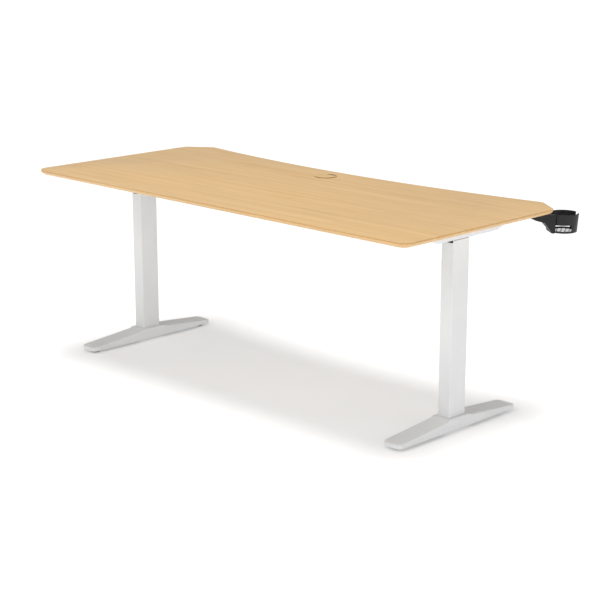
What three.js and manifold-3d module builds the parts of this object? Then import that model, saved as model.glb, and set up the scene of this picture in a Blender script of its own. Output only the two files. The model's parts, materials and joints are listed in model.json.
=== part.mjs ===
// Height adjustable standing desk, fully lowered, with a cup holder on one corner.
// Millimetres. +Z is up, +X runs along the desk towards the cup holder and
// +Y points to the scooped edge, where the user sits.
import * as THREE from 'three';
import { mergeVertices } from 'three/addons/utils/BufferGeometryUtils.js';
import Module from 'manifold-3d';

const wasm = await Module();
wasm.setup();

// ---------------------------------------------------------------- main sizes
const fit = 0.3; // clearance left between any two pieces that touch
const deskHeight = 700; // floor to work surface with the columns fully in
const topLength = 1800;
const topDepth = 800;
const topThickness = 25;
const legInset = 136; // end of the top to the middle of a column
const columnWidth = 50; // outer tube, along X
const columnDepth = 80; // outer tube, along Y
const tubeWall = 2.5;
const footLength = 590;
const footWidth = 75;
const footClearance = 10; // gap under the foot, filled by the levelling glides
const footTop = 49; // plateau the column stands on
const grommetRadius = 37;
const cupRadius = 50; // cup holder, outside, at the rim
const cupHeight = 62;

const underside = deskHeight - topThickness;
const legX = topLength / 2 - legInset;

// ---------------------------------------------------------------- materials
const paint = (color, roughness, metalness) => () =>
  new THREE.MeshStandardMaterial({ color, roughness, metalness });
const wood = paint(0xdcb98c, 0.5, 0);
const whiteSteel = paint(0xe4e4e2, 0.45, 0.1);
const blackPlastic = paint(0x1c1c1d, 0.55, 0);
const blackSteel = paint(0x2a2a2c, 0.45, 0.3);
const brightSteel = paint(0xb4b6b8, 0.3, 0.9);
const castAlloy = paint(0x9a9c9e, 0.5, 0.7);
const brass = paint(0xc2a052, 0.35, 0.9);
const rubber = paint(0x19191a, 0.85, 0);
const cable = paint(0x141415, 0.6, 0);
const circuitGreen = paint(0x1f5a3a, 0.6, 0);
const displayGlass = paint(0x0a0c10, 0.1, 0);
const buttonGrey = paint(0x3a3b3d, 0.6, 0);

// ---------------------------------------------------------------- helpers
const root = new THREE.Group();
root.name = 'standing_desk';

function place(name, geometry, material) {
  geometry.computeVertexNormals();
  const mesh = new THREE.Mesh(geometry, material());
  mesh.name = name;
  root.add(mesh);
  return mesh;
}

function toSolid(geometry) {
  const bare = geometry.clone();
  for (const extra of ['normal', 'uv']) bare.deleteAttribute(extra);
  const welded = mergeVertices(bare, 1e-4);
  return new wasm.Manifold(new wasm.Mesh({
    numProp: 3,
    vertProperties: Float32Array.from(welded.attributes.position.array),
    triVerts: Uint32Array.from(welded.index.array),
  }));
}

function toGeometry(solid) {
  const mesh = solid.getMesh();
  const geometry = new THREE.BufferGeometry();
  geometry.setAttribute('position', new THREE.BufferAttribute(Float32Array.from(mesh.vertProperties), 3));
  geometry.setIndex(Array.from(mesh.triVerts));
  return geometry;
}

const joined = (...solids) => solids.reduce((sum, solid) => sum.add(solid));
const cutBy = (solid, ...tools) => tools.reduce((left, tool) => left.subtract(tool), solid);

const polygon = (pairs) => new THREE.Shape(pairs.map(([a, b]) => new THREE.Vector2(a, b)));

function roundedRectangle(width, depth, radius) {
  const shape = new THREE.Shape();
  const halfW = width / 2;
  const halfD = depth / 2;
  shape.absarc(halfW - radius, halfD - radius, radius, 0, Math.PI / 2);
  shape.absarc(radius - halfW, halfD - radius, radius, Math.PI / 2, Math.PI);
  shape.absarc(radius - halfW, radius - halfD, radius, Math.PI, 1.5 * Math.PI);
  shape.absarc(halfW - radius, radius - halfD, radius, 1.5 * Math.PI, 2 * Math.PI);
  return shape;
}

const extruded = (shape, depth, curveSegments = 4) =>
  new THREE.ExtrudeGeometry(shape, { depth, bevelEnabled: false, curveSegments });

// A plan outline raised from one height to another.
function upright(shape, low, high, curveSegments) {
  return toSolid(extruded(shape, high - low, curveSegments).translate(0, 0, low));
}

// A side outline drawn as (y, z), run along X.
function alongX(shape, from, to, curveSegments) {
  const geometry = extruded(shape, to - from, curveSegments);
  geometry.applyMatrix4(new THREE.Matrix4().makeBasis(
    new THREE.Vector3(0, 1, 0), new THREE.Vector3(0, 0, 1), new THREE.Vector3(1, 0, 0)));
  return toSolid(geometry.translate(from, 0, 0));
}

// An end outline drawn as (x, z), run along Y.
function alongY(shape, from, to, curveSegments) {
  const geometry = extruded(shape, to - from, curveSegments).rotateX(Math.PI / 2);
  return toSolid(geometry.translate(0, to, 0));
}

function box(x, y, z) {
  const [[x0, x1], [y0, y1], [z0, z1]] = [x, y, z];
  const geometry = new THREE.BoxGeometry(x1 - x0, y1 - y0, z1 - z0);
  return toSolid(geometry.translate((x0 + x1) / 2, (y0 + y1) / 2, (z0 + z1) / 2));
}

// A round solid or ring about Z; the profile is a list of (radius, z) pairs.
function turned(profile, sides = 24) {
  return toSolid(new THREE.LatheGeometry(
    profile.map(([radius, z]) => new THREE.Vector2(radius, z)), sides).rotateX(Math.PI / 2));
}

const rod = (radius, low, high, sides) =>
  turned([[0, low], [radius, low], [radius, high], [0, high]], sides);
const ring = (inner, outer, low, high, sides) =>
  turned([[inner, low], [outer, low], [outer, high], [inner, high], [inner, low]], sides);

const spread = (centre, half) => [centre - half, centre + half];
const degrees = (angle) => angle * Math.PI / 180;

// ---------------------------------------------------------------- the top
const nearCornerRadius = 46;
const farCornerRadius = 25;
const cornerCut = 95; // how far along the end each far corner is cut off
const cutSlope = degrees(36);
const farEdgeLean = degrees(9.5); // slope of the scooped edge where it meets the corner
const undercutDepth = 60; // how far in the curved under-bevel reaches
const edgeBand = 5; // upright part of the edge
const edgeRound = 1.2;
const scoopSteps = 22;

// Directions that the end, the cut corner and the end of the scooped edge face, on the +X side.
const endFacing = { x: 1, y: 0 };
const cutFacing = { x: Math.sin(cutSlope), y: Math.cos(cutSlope) };
const scoopFacing = { x: -Math.sin(farEdgeLean), y: Math.cos(farEdgeLean) };
const tip = { x: topLength / 2 - cornerCut, y: topDepth / 2 };
const heel = { x: topLength / 2, y: topDepth / 2 - cornerCut * Math.tan(cutSlope) };

// Centre of the arc that rounds a corner between two edges, when both are drawn in by `inset`.
function cornerArc(corner, facingA, facingB, inset) {
  const radius = Math.max(farCornerRadius - inset, 6);
  const back = (inset + radius) / (1 + facingA.x * facingB.x + facingA.y * facingB.y);
  return { radius, x: corner.x - back * (facingA.x + facingB.x), y: corner.y - back * (facingA.y + facingB.y) };
}

// The scooped edge is a parabola that runs smoothly into the arcs at its two tips.
function scoopAt(x, inset) {
  const arc = cornerArc(tip, cutFacing, scoopFacing, inset);
  const meetX = arc.x + arc.radius * scoopFacing.x;
  const meetY = arc.y + arc.radius * scoopFacing.y;
  const bend = Math.tan(farEdgeLean) / (2 * meetX);
  return { meetX, y: meetY - bend * (meetX * meetX - x * x) };
}

function topOutline(inset) {
  const points = [];
  const arc = ({ x, y, radius }, from, to, steps, mirror = 1) => {
    for (let step = 0; step <= steps; step += 1) {
      const angle = from + (to - from) * step / steps;
      points.push(new THREE.Vector2(mirror * (x + radius * Math.cos(angle)), y + radius * Math.sin(angle)));
    }
  };
  const nearRadius = Math.max(nearCornerRadius - inset, 10);
  const near = {
    radius: nearRadius, x: topLength / 2 - inset - nearRadius, y: inset + nearRadius - topDepth / 2,
  };
  const heelArc = cornerArc(heel, endFacing, cutFacing, inset);
  const tipArc = cornerArc(tip, cutFacing, scoopFacing, inset);
  const cutTurn = Math.PI / 2 - cutSlope;
  const scoopTurn = Math.PI / 2 + farEdgeLean;
  const { meetX } = scoopAt(0, inset);
  arc(near, -Math.PI / 2, 0, 6);
  arc(heelArc, 0, cutTurn, 5);
  arc(tipArc, cutTurn, scoopTurn, 5);
  for (let step = 1; step < scoopSteps; step += 1) {
    const x = meetX * (1 - 2 * step / scoopSteps);
    points.push(new THREE.Vector2(x, scoopAt(x, inset).y));
  }
  arc(tipArc, scoopTurn, cutTurn, 5, -1);
  arc(heelArc, cutTurn, 0, 5, -1);
  arc(near, 0, -Math.PI / 2, 6, -1);
  return points;
}

// The cup holder stands square to the middle of the cut corner and is screwed on behind the under-bevel.
const cupGap = 2.5; // between the rim and the cut corner, seen from above
const armWidth = 40;
const armReach = cupRadius + cupGap + undercutDepth + 50; // from the cup's centre to the end of its arm
const onCupArm = (reach) => ({
  x: (tip.x + heel.x) / 2 + (cupGap + cupRadius - reach) * cutFacing.x,
  y: (tip.y + heel.y) / 2 + (cupGap + cupRadius - reach) * cutFacing.y,
});

// Stacks closed outlines of equal length into one solid.
function stacked(levels) {
  const count = levels[0].outline.length;
  const positions = levels.flatMap(({ outline, z }) => outline.flatMap((point) => [point.x, point.y, z]));
  const faces = [];
  for (let level = 0; level + 1 < levels.length; level += 1) {
    for (let i = 0; i < count; i += 1) {
      const a = level * count + i;
      const b = level * count + (i + 1) % count;
      faces.push(a, b, b + count, a, b + count, a + count);
    }
  }
  const lid = THREE.ShapeUtils.triangulateShape(levels[0].outline, []);
  const last = (levels.length - 1) * count;
  for (const [a, b, c] of lid) faces.push(c, b, a);
  for (const [a, b, c] of THREE.ShapeUtils.triangulateShape(levels.at(-1).outline, [])) {
    faces.push(last + a, last + b, last + c);
  }
  const geometry = new THREE.BufferGeometry();
  geometry.setAttribute('position', new THREE.Float32BufferAttribute(positions, 3));
  geometry.setIndex(faces);
  return toSolid(geometry);
}

const grommetAt = { x: -36, y: 241 };
const pilotDepth = 14;
const pilotRadius = 2;

function topLevels() {
  const bevelHeight = topThickness - edgeBand;
  const levels = [90, 66, 46, 24, 0].map((angle) => ({
    inset: undercutDepth * (1 - Math.cos(degrees(angle))),
    z: underside + bevelHeight * (1 - Math.sin(degrees(angle))),
  }));
  levels.push({ inset: 0, z: deskHeight - edgeRound }, { inset: edgeRound, z: deskHeight });
  return levels.map(({ inset, z }) => ({ outline: topOutline(inset), z }));
}

function buildTop(pilotHoles) {
  const pilots = pilotHoles.map(({ x, y }) =>
    rod(pilotRadius + fit, underside - 1, underside + pilotDepth, 8).translate([x, y, 0]));
  const grommetHole = rod(grommetRadius, underside - 1, deskHeight + 1, 32)
    .translate([grommetAt.x, grommetAt.y, 0]);
  place('desktop', toGeometry(cutBy(stacked(topLevels()), grommetHole, ...pilots)), wood);
}

// ---------------------------------------------------------------- cable grommet
function buildGrommet() {
  const sleeveWall = 2;
  const ledgeWidth = 3.5;
  const proud = 2.5; // flange and cap above the work surface
  const flangeWidth = 3;
  const capSeat = deskHeight - 7;
  const outer = grommetRadius - fit;
  const inner = outer - sleeveWall;
  const sleeve = turned([
    [inner, underside + 2], [outer, underside + 2], [outer, deskHeight + fit],
    [grommetRadius + flangeWidth, deskHeight + fit], [grommetRadius + flangeWidth, deskHeight + proud - 0.6],
    [grommetRadius + flangeWidth - 0.6, deskHeight + proud], [inner, deskHeight + proud],
    [inner, capSeat], [inner - ledgeWidth, capSeat], [inner - ledgeWidth, capSeat - 3],
    [inner, capSeat - 6], [inner, underside + 2],
  ], 32).translate([grommetAt.x, grommetAt.y, 0]);
  place('grommet_sleeve', toGeometry(sleeve), blackPlastic);

  const capRadius = inner - fit;
  const notchDepth = 11;
  const notch = box([-capRadius, capRadius], [capRadius - notchDepth, capRadius + 1], [capSeat - 1, deskHeight + 9]);
  const disc = rod(capRadius, capSeat + fit, deskHeight + proud, 32);
  place('grommet_cap', toGeometry(cutBy(disc, notch).translate([grommetAt.x, grommetAt.y, 0])), wood);
}

// ---------------------------------------------------------------- feet and glides
const glideOffset = footLength / 2 - 35;
const studRadius = 5;
const boltRadius = 5;
const boltHead = 8.5;

function buildFoot(side, x) {
  const halfLength = footLength / 2;
  const plateau = columnDepth / 2 + 9;
  const endTop = footClearance + 14;
  const shoulder = footTop - 5;
  const skin = 3;
  const sideView = polygon([
    [-halfLength, footClearance], [halfLength, footClearance],
    [halfLength, endTop - 3], [halfLength - 4, endTop],
    [plateau + 10, shoulder], [plateau, footTop],
    [-plateau, footTop], [-plateau - 10, shoulder],
    [4 - halfLength, endTop], [-halfLength, endTop - 3],
  ]);
  const plan = roundedRectangle(footWidth, footLength, 18);
  let foot = alongX(sideView, -footWidth / 2, footWidth / 2)
    .intersect(upright(plan, 0, footTop + 1));
  const pocketStart = plateau + 14;
  const pocketEnd = glideOffset - 24;
  const slope = (shoulder - endTop) / (halfLength - 4 - plateau - 10);
  const pocketTop = (y) => endTop + slope * (halfLength - 4 - y) - skin;
  for (const sign of [-1, 1]) {
    const low = footClearance - 1;
    const corners = [
      [pocketStart, low], [pocketEnd, low], [pocketEnd, pocketTop(pocketEnd)], [pocketStart, pocketTop(pocketStart)],
    ].map(([y, z]) => [sign * y, z]);
    const pocket = alongX(polygon(sign > 0 ? corners : corners.reverse()),
      skin - footWidth / 2, footWidth / 2 - skin);
    const studHole = rod(studRadius + fit, footClearance - 1, endTop + 1, 16)
      .translate([0, sign * glideOffset, 0]);
    foot = cutBy(foot, pocket, studHole);
  }
  const boltHole = joined(
    rod(boltRadius + fit, footClearance - 1, footTop + 1, 16),
    rod(boltHead + fit, footClearance - 1, footClearance + 12, 16));
  place(`${side}_foot`, toGeometry(cutBy(foot, boltHole).translate([x, 0, 0])), whiteSteel);

  const bolt = turned([
    [0, footClearance + 5], [boltHead, footClearance + 5], [boltHead, footClearance + 12 - fit],
    [boltRadius, footClearance + 12 - fit], [boltRadius, footTop + 16], [0, footTop + 16],
  ], 16);
  place(`${side}_foot_bolt`, toGeometry(bolt.translate([x, 0, 0])), brightSteel);
}

function buildGlide(name, x, y) {
  const padRadius = 18;
  const padHeight = 5;
  const glide = turned([
    [0, 0], [padRadius - 1, 0], [padRadius, 1], [padRadius, padHeight - 1.5],
    [padRadius - 3, padHeight], [studRadius, padHeight], [studRadius, 19], [0, 19],
  ], 16);
  place(name, toGeometry(glide.translate([x, y, 0])), rubber);
}

// ---------------------------------------------------------------- lifting columns
const outerTubeTop = underside - 48;
const collarTop = outerTubeTop + 8;
const headBottom = collarTop + 6; // underside of the gearbox
const basePlate = 5;
const innerWidth = columnWidth - 2 * tubeWall - 4;
const innerDepth = columnDepth - 2 * tubeWall - 4;
const spindleRadius = 8;
const pushTubeRadius = 15;
const pushTubeTop = outerTubeTop - 47;

function buildColumn(side, x) {
  const at = (solid) => toGeometry(solid.translate([x, 0, 0]));
  const bottom = footTop + fit;
  const shell = upright(roundedRectangle(columnWidth, columnDepth, 4), bottom, collarTop);
  const hollow = upright(roundedRectangle(columnWidth - 2 * tubeWall, columnDepth - 2 * tubeWall, 2),
    bottom + basePlate, collarTop + 1);
  // The collar's lip shows in a notch in the tube's two narrow faces.
  const collarNotch = box(spread(0, columnWidth / 2 - tubeWall), spread(0, columnDepth / 2 + 1),
    [outerTubeTop, collarTop + 1]);
  const boltHole = rod(boltRadius + fit, bottom - 1, bottom + basePlate + 1, 16);
  place(`${side}_outer_tube`, at(cutBy(shell, hollow, collarNotch, boltHole)), whiteSteel);

  const bore = upright(roundedRectangle(innerWidth + 2 * fit, innerDepth + 2 * fit, 1.8),
    outerTubeTop - 50, collarTop + 1, 3);
  const collar = cutBy(joined(
    upright(roundedRectangle(columnWidth - 2 * tubeWall - 2 * fit, columnDepth, 2), outerTubeTop + fit, collarTop),
    upright(roundedRectangle(columnWidth - 2 * tubeWall - 2 * fit, columnDepth - 2 * tubeWall - 2 * fit, 2),
      outerTubeTop - 40, outerTubeTop + 1)), bore);
  place(`${side}_guide_collar`, at(collar), blackPlastic);

  const innerWall = 2;
  const innerBottom = bottom + basePlate + 8;
  const headPlate = 3;
  const innerTube = cutBy(
    upright(roundedRectangle(innerWidth, innerDepth, 1.5), innerBottom, headBottom - fit, 3),
    upright(roundedRectangle(innerWidth - 2 * innerWall, innerDepth - 2 * innerWall, 1),
      innerBottom - 1, headBottom - fit - headPlate, 3),
    rod(spindleRadius + 1, headBottom - 10, headBottom + 1, 16));
  place(`${side}_inner_tube`, at(innerTube), whiteSteel);

  const pushBottom = bottom + basePlate + fit;
  place(`${side}_push_tube`, at(ring(pushTubeRadius - 3, pushTubeRadius, pushBottom, pushTubeTop, 16)), brightSteel);
  const nut = turned([
    [spindleRadius + fit, pushTubeTop - 10], [pushTubeRadius - 3 - fit, pushTubeTop - 10],
    [pushTubeRadius - 3 - fit, pushTubeTop + fit], [pushTubeRadius, pushTubeTop + fit],
    [pushTubeRadius, pushTubeTop + 22], [spindleRadius + fit, pushTubeTop + 22],
    [spindleRadius + fit, pushTubeTop - 10],
  ], 16);
  place(`${side}_spindle_nut`, at(nut), brass);
  place(`${side}_spindle`, at(rod(spindleRadius, 90, headBottom + 9, 16)), brightSteel);
}

// ---------------------------------------------------------------- drive heads
const motorHeight = headBottom + 10;
const motorRadius = 23;
const motorLength = 110;
const neckRadius = 11;

function buildDriveHead(side, x, inward) {
  const headWidth = columnWidth - 2 * tubeWall - 1;
  const headDepth = 74;
  const top = underside - tubeWall - 2 * fit;
  const chamfer = 5;
  const section = polygon([
    [-headDepth / 2, headBottom], [headDepth / 2, headBottom], [headDepth / 2, top - chamfer],
    [headDepth / 2 - chamfer, top], [chamfer - headDepth / 2, top], [-headDepth / 2, top - chamfer],
  ]);
  const gearbox = cutBy(alongX(section, -headWidth / 2, headWidth / 2),
    rod(spindleRadius + fit, headBottom - 1, headBottom + 10, 16));
  place(`${side}_gearbox`, toGeometry(gearbox.translate([x, 0, 0])), castAlloy);

  const motor = turned([
    [0, 0], [neckRadius, 0], [neckRadius, 4], [motorRadius - 4, 4], [motorRadius, 7],
    [motorRadius, motorLength - 6], [motorRadius - 4, motorLength], [5, motorLength],
    [5, motorLength + 5], [0, motorLength + 5],
  ], 20);
  const start = x + inward * (headWidth / 2 + fit);
  place(`${side}_motor`, toGeometry(motor.rotate([0, inward * 90, 0]).translate([start, 0, motorHeight])), blackSteel);
  return { x: start + inward * (motorLength + 5 + fit), y: 0, z: motorHeight };
}

// ---------------------------------------------------------------- frame under the top
const bracketBottom = collarTop + 2;
const bracketNearEnd = onCupArm(armReach - armWidth / 2).y - armWidth / 2 - 3; // just clear of the cup's arm
const bracketFarEnd = -205;
const bracketShift = (bracketNearEnd + bracketFarEnd) / 2; // it reaches further towards the user
const bracketReach = (bracketNearEnd - bracketFarEnd) / 2;
const bracketFlat = bracketReach - 90;
const frameTop = underside - fit;
const railOffset = 75;
const railWidth = 20;
const railHeight = 30;
const sleeveWall = 2.5;
const railMiddle = frameTop - fit - railHeight / 2 - sleeveWall;

function buildSideBracket(side, x, inward) {
  const channel = polygon([
    [-columnWidth / 2, bracketBottom], [tubeWall - columnWidth / 2, bracketBottom],
    [tubeWall - columnWidth / 2, frameTop - tubeWall], [columnWidth / 2 - tubeWall, frameTop - tubeWall],
    [columnWidth / 2 - tubeWall, bracketBottom], [columnWidth / 2, bracketBottom],
    [columnWidth / 2, frameTop], [-columnWidth / 2, frameTop],
  ]);
  const sideView = polygon([
    [-bracketReach, frameTop - 10], [-bracketFlat - 40, bracketBottom + 13], [-bracketFlat - 12, bracketBottom + 2],
    [-bracketFlat, bracketBottom - 1], [bracketFlat, bracketBottom - 1], [bracketFlat + 12, bracketBottom + 2],
    [bracketFlat + 40, bracketBottom + 13], [bracketReach, frameTop - 10],
    [bracketReach, frameTop + 1], [-bracketReach, frameTop + 1],
  ]);
  const neckHole = rod(neckRadius + 1.5, 0, 2 * tubeWall + 2, 20)
    .rotate([0, inward * 90, 0])
    .translate([inward * (columnWidth / 2 - 2 * tubeWall), -bracketShift, motorHeight]);
  const bracket = cutBy(
    alongY(channel, -bracketReach, bracketReach).intersect(alongX(sideView, -columnWidth, columnWidth)),
    neckHole);
  place(`${side}_side_bracket`, toGeometry(bracket.translate([x, bracketShift, 0])), whiteSteel);
}

function buildRail(end, y) {
  const tube = (width, height, wall, from, to) => cutBy(
    box([from, to], spread(0, width / 2), spread(railMiddle, height / 2)),
    box([from - 1, to + 1], spread(0, width / 2 - wall), spread(railMiddle, height / 2 - wall)));
  const outerEnd = legX - columnWidth / 2 - fit;
  const armLength = outerEnd * 0.75;
  const flange = box([outerEnd - 3, outerEnd], spread(0, railWidth / 2 + 4), spread(railMiddle, railHeight / 2));
  const arm = joined(tube(railWidth, railHeight, 2, outerEnd - armLength, outerEnd - 1), flange);
  const sleeve = tube(railWidth + 2 * (sleeveWall + fit), railHeight + 2 * (sleeveWall + fit) - fit, sleeveWall,
    -outerEnd * 0.54, outerEnd * 0.54);
  place(`${end}_rail_right_arm`, toGeometry(arm.translate([0, y, 0])), whiteSteel);
  place(`${end}_rail_left_arm`, toGeometry(arm.rotate([0, 0, 180]).translate([0, y, 0])), whiteSteel);
  place(`${end}_rail_sleeve`, toGeometry(sleeve.translate([0, y, 0])), whiteSteel);
}

// ---------------------------------------------------------------- control box
const controlBox = { x: -180, y: -185, length: 240, depth: 80, height: 36 };
const boxWall = 2.5;
const portHeight = underside - 18;

function buildControlBox() {
  const { x, y, length, depth, height } = controlBox;
  const bottom = underside - height;
  const rim = frameTop - 4;
  const outer = box(spread(x, length / 2), spread(y, depth / 2), [bottom, rim - fit]);
  const inner = box(spread(x, length / 2 - boxWall), spread(y, depth / 2 - boxWall), [bottom + boxWall, rim + 1]);
  const port = (px, py) => box(spread(px, 5), spread(py, 5), spread(portHeight, 4.5));
  const inletHole = box(spread(x + 60, 14 + fit), spread(y - depth / 2, 5), spread(portHeight - 1, 10 + fit));
  let tray = cutBy(outer, inner, port(x - length / 2, y), port(x + length / 2, y),
    port(x - 60, y + depth / 2), inletHole);
  for (const signX of [-1, 1]) {
    for (const signY of [-1, 1]) {
      const post = rod(4, bottom + 1, bottom + 8, 12)
        .translate([x + signX * (length / 2 - 16), y + signY * (depth / 2 - 14), 0]);
      tray = joined(tray, post);
    }
  }
  place('control_box_tray', toGeometry(tray), blackPlastic);

  const lid = joined(
    box(spread(x, length / 2), spread(y, depth / 2), [rim, frameTop]),
    box(spread(x, length / 2 + 12), spread(y, 12), [rim, frameTop]));
  place('control_box_lid', toGeometry(lid), blackPlastic);

  const board = box(spread(x, length / 2 - 8), [y - depth / 2 + 20, y + depth / 2 - 6], [bottom + 8 + fit, bottom + 10]);
  place('control_box_circuit_board', toGeometry(board), circuitGreen);

  const outside = y - depth / 2;
  const flange = box(spread(x + 60, 17), [outside - 2 - fit, outside - fit], spread(portHeight - 1, 12.5));
  const body = box(spread(x + 60, 14), [outside - 1, outside + 18], spread(portHeight - 1, 10));
  const socket = box(spread(x + 60, 10), [outside - 3, outside + 12], spread(portHeight - 1, 6));
  const pin = (offset) => box(spread(x + 60 + offset, 1.2), [outside - 1, outside + 13], spread(portHeight - 1, 2));
  place('power_inlet', toGeometry(joined(cutBy(joined(flange, body), socket), pin(-5), pin(5))), blackPlastic);
}

// ---------------------------------------------------------------- handset
const handsetX = -450;
const handsetTilt = degrees(20);
const handsetWidth = 130;
const faceHeight = 22;
const faceMiddle = { y: scoopAt(handsetX, 0).y - 12, z: underside - 15 };
const buttonRadius = 5;
const buttonSpots = {
  button_up: -54, button_down: -41, button_memory_1: 11, button_memory_2: 24, button_memory_3: 37, button_store: 50,
};

// Face frame: local x to the user's right, local y up the face, local z out of it.
const faceFrame = new THREE.Matrix4().makeBasis(
  new THREE.Vector3(-1, 0, 0),
  new THREE.Vector3(0, -Math.sin(handsetTilt), Math.cos(handsetTilt)),
  new THREE.Vector3(0, Math.cos(handsetTilt), Math.sin(handsetTilt)),
).setPosition(handsetX, faceMiddle.y, faceMiddle.z);

const onFace = (solid) => toSolid(toGeometry(solid).applyMatrix4(faceFrame));

function buildHandset() {
  const lip = 2;
  const plate = 2;
  const pocketDepth = 9;
  const halfWidth = handsetWidth / 2;
  const displayAt = [-30, -4];
  const up = [-Math.sin(handsetTilt), Math.cos(handsetTilt)];
  const reach = faceHeight / 2 + lip;
  const topEdge = [faceMiddle.y + reach * up[0], faceMiddle.z + reach * up[1]];
  const lowEdge = [faceMiddle.y - reach * up[0], faceMiddle.z - reach * up[1]];
  const padFront = scoopAt(handsetX, undercutDepth).y - 6;
  const section = polygon([
    topEdge, [padFront, topEdge[1]], [padFront, frameTop], [padFront - 85, frameTop],
    [padFront - 85, frameTop - 12], [padFront - 35, lowEdge[1]], lowEdge,
  ]);
  const width = spread(0, halfWidth - lip);
  const face = spread(0, faceHeight / 2);
  const pocket = onFace(joined(
    box(spread(0, halfWidth - lip + fit), spread(0, faceHeight / 2 + fit), [-plate - fit, 3]),
    box(spread(0, halfWidth - lip - 2), spread(0, faceHeight / 2 - 2), [-plate - pocketDepth, 0])));
  const leadHole = alongY(new THREE.Shape().absarc(handsetX, frameTop - 6, 3.4, 0, 2 * Math.PI),
    padFront - 90, padFront - 75, 6);
  place('handset_case', toGeometry(cutBy(
    alongX(section, handsetX - halfWidth, handsetX + halfWidth), pocket, leadHole)), blackPlastic);

  const displayWindow = box(displayAt, spread(0, 6), [-plate - 1, 1]);
  const buttonHoles = Object.values(buttonSpots).map((x) =>
    rod(buttonRadius + fit, -plate - 1, 1, 12).translate([x, 0, 0]));
  place('handset_face_plate', toGeometry(onFace(cutBy(box(width, face, [-plate, 0]), displayWindow, ...buttonHoles))),
    blackPlastic);
  const glass = box([displayAt[0] + fit, displayAt[1] - fit], spread(0, 6 - fit), [-plate - 0.5, 0.2]);
  place('handset_display', toGeometry(onFace(glass)), displayGlass);
  const board = box(spread(0, halfWidth - lip - 5), spread(0, faceHeight / 2 - 3), [-plate - 6.6, -plate - 5]);
  place('handset_circuit_board', toGeometry(onFace(board)), circuitGreen);

  for (const [name, x] of Object.entries(buttonSpots)) {
    const button = turned([
      [0, -plate - 3.8], [2, -plate - 3.8], [2, -plate - 2], [buttonRadius + 1.2, -plate - 2],
      [buttonRadius + 1.2, -plate - fit], [buttonRadius, -plate - fit], [buttonRadius, 0.8],
      [buttonRadius - 0.5, 1.2], [0, 1.2],
    ], 12);
    place(name, toGeometry(onFace(button.translate([x, 0, 0]))), buttonGrey);
  }
  return { x: handsetX, y: padFront - 85 - fit, z: frameTop - 6 };
}

// ---------------------------------------------------------------- leads and clips
const leadRadius = 2.8;
const clipWidth = 8;
const clipLeadDrop = 6; // middle of a clipped lead below the underside

function buildLead(name, stops) {
  const path = new THREE.CatmullRomCurve3(stops.map(([x, y, z]) => new THREE.Vector3(x, y, z)), false, 'centripetal');
  const section = new THREE.Shape().absarc(0, 0, leadRadius, 0, 2 * Math.PI);
  const geometry = new THREE.ExtrudeGeometry(section, { steps: stops.length * 3, curveSegments: 4, extrudePath: path });
  place(name, toGeometry(toSolid(geometry)), cable);
}

// A saddle clip across a lead that runs along X.
function buildClip(name, { x, y }) {
  const hole = leadRadius + 1.2;
  const wall = 1.8;
  const middle = underside - clipLeadDrop;
  const outside = new THREE.Shape();
  outside.moveTo(-hole - wall, frameTop);
  outside.absarc(0, middle, hole + wall, Math.PI, 2 * Math.PI);
  outside.lineTo(hole + wall, frameTop);
  const bore = new THREE.Shape().absarc(0, middle, hole, 0, 2 * Math.PI);
  const clip = cutBy(alongX(outside, x - clipWidth / 2, x + clipWidth / 2, 6), alongX(bore, x - clipWidth, x + clipWidth, 6));
  place(name, toGeometry(clip.translate([0, y, 0])), blackPlastic);
}

// Two stops that hold a lead straight through a clip; `heading` is +1 or -1 along X.
const throughClip = ({ x, y }, heading) => [-1, 1].map((end) =>
  [x + heading * end * clipWidth, y, underside - clipLeadDrop]);

function buildLeads(leftMotorEnd, rightMotorEnd, handsetEnd) {
  const { x: boxX, y: boxY, length, depth } = controlBox;
  const railUnder = railMiddle - railHeight / 2 - sleeveWall - 10;
  const leftClips = [{ x: -535, y: -262 }, { x: -455, y: -262 }];
  const rightClips = [{ x: 500, y: boxY }, { x: 200, y: boxY }];
  buildLead('left_motor_lead', [
    [leftMotorEnd.x + 1, 0, motorHeight], [leftMotorEnd.x + 9, 0, motorHeight],
    [leftMotorEnd.x + 22, -12, motorHeight - 6],
    [leftMotorEnd.x + 30, -railOffset, railUnder], [leftMotorEnd.x + 32, -150, railUnder + 20],
    [leftClips[0].x - 26, -240, underside - 10], ...throughClip(leftClips[0], 1),
    [-495, -262, underside - 32], ...throughClip(leftClips[1], 1),
    [-400, -235, underside - 12], [boxX - length / 2 - 30, boxY - 6, portHeight],
    [boxX - length / 2 - 8, boxY, portHeight], [boxX - length / 2 + 2, boxY, portHeight],
  ]);
  buildLead('right_motor_lead', [
    [rightMotorEnd.x - 1, 0, motorHeight], [rightMotorEnd.x - 9, 0, motorHeight],
    [rightMotorEnd.x - 22, -12, motorHeight - 6],
    [rightMotorEnd.x - 30, -railOffset, railUnder], [rightMotorEnd.x - 40, -140, railUnder + 20],
    [rightClips[0].x + 40, boxY, underside - 9], ...throughClip(rightClips[0], -1),
    [(rightClips[0].x + rightClips[1].x) / 2, boxY, underside - 16], ...throughClip(rightClips[1], -1),
    [60, boxY, underside - 18], [boxX + length / 2 + 8, boxY, portHeight],
    [boxX + length / 2 - 2, boxY, portHeight],
  ]);
  buildLead('handset_lead', [
    [handsetEnd.x, handsetEnd.y + 2, handsetEnd.z], [handsetEnd.x, handsetEnd.y - 12, handsetEnd.z - 2],
    [handsetEnd.x + 25, railOffset + 50, railUnder + 8], [handsetEnd.x + 60, railOffset, railUnder],
    [boxX - 120, 0, railUnder - 2], [boxX - 66, -railOffset, railUnder],
    [boxX - 60, -railOffset - 40, portHeight - 8],
    [boxX - 60, boxY + depth / 2 + 10, portHeight], [boxX - 60, boxY + depth / 2 - 2, portHeight],
  ]);
  [...leftClips, ...rightClips].forEach((clip, index) => buildClip(`lead_clip_${index + 1}`, clip));
}

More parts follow.
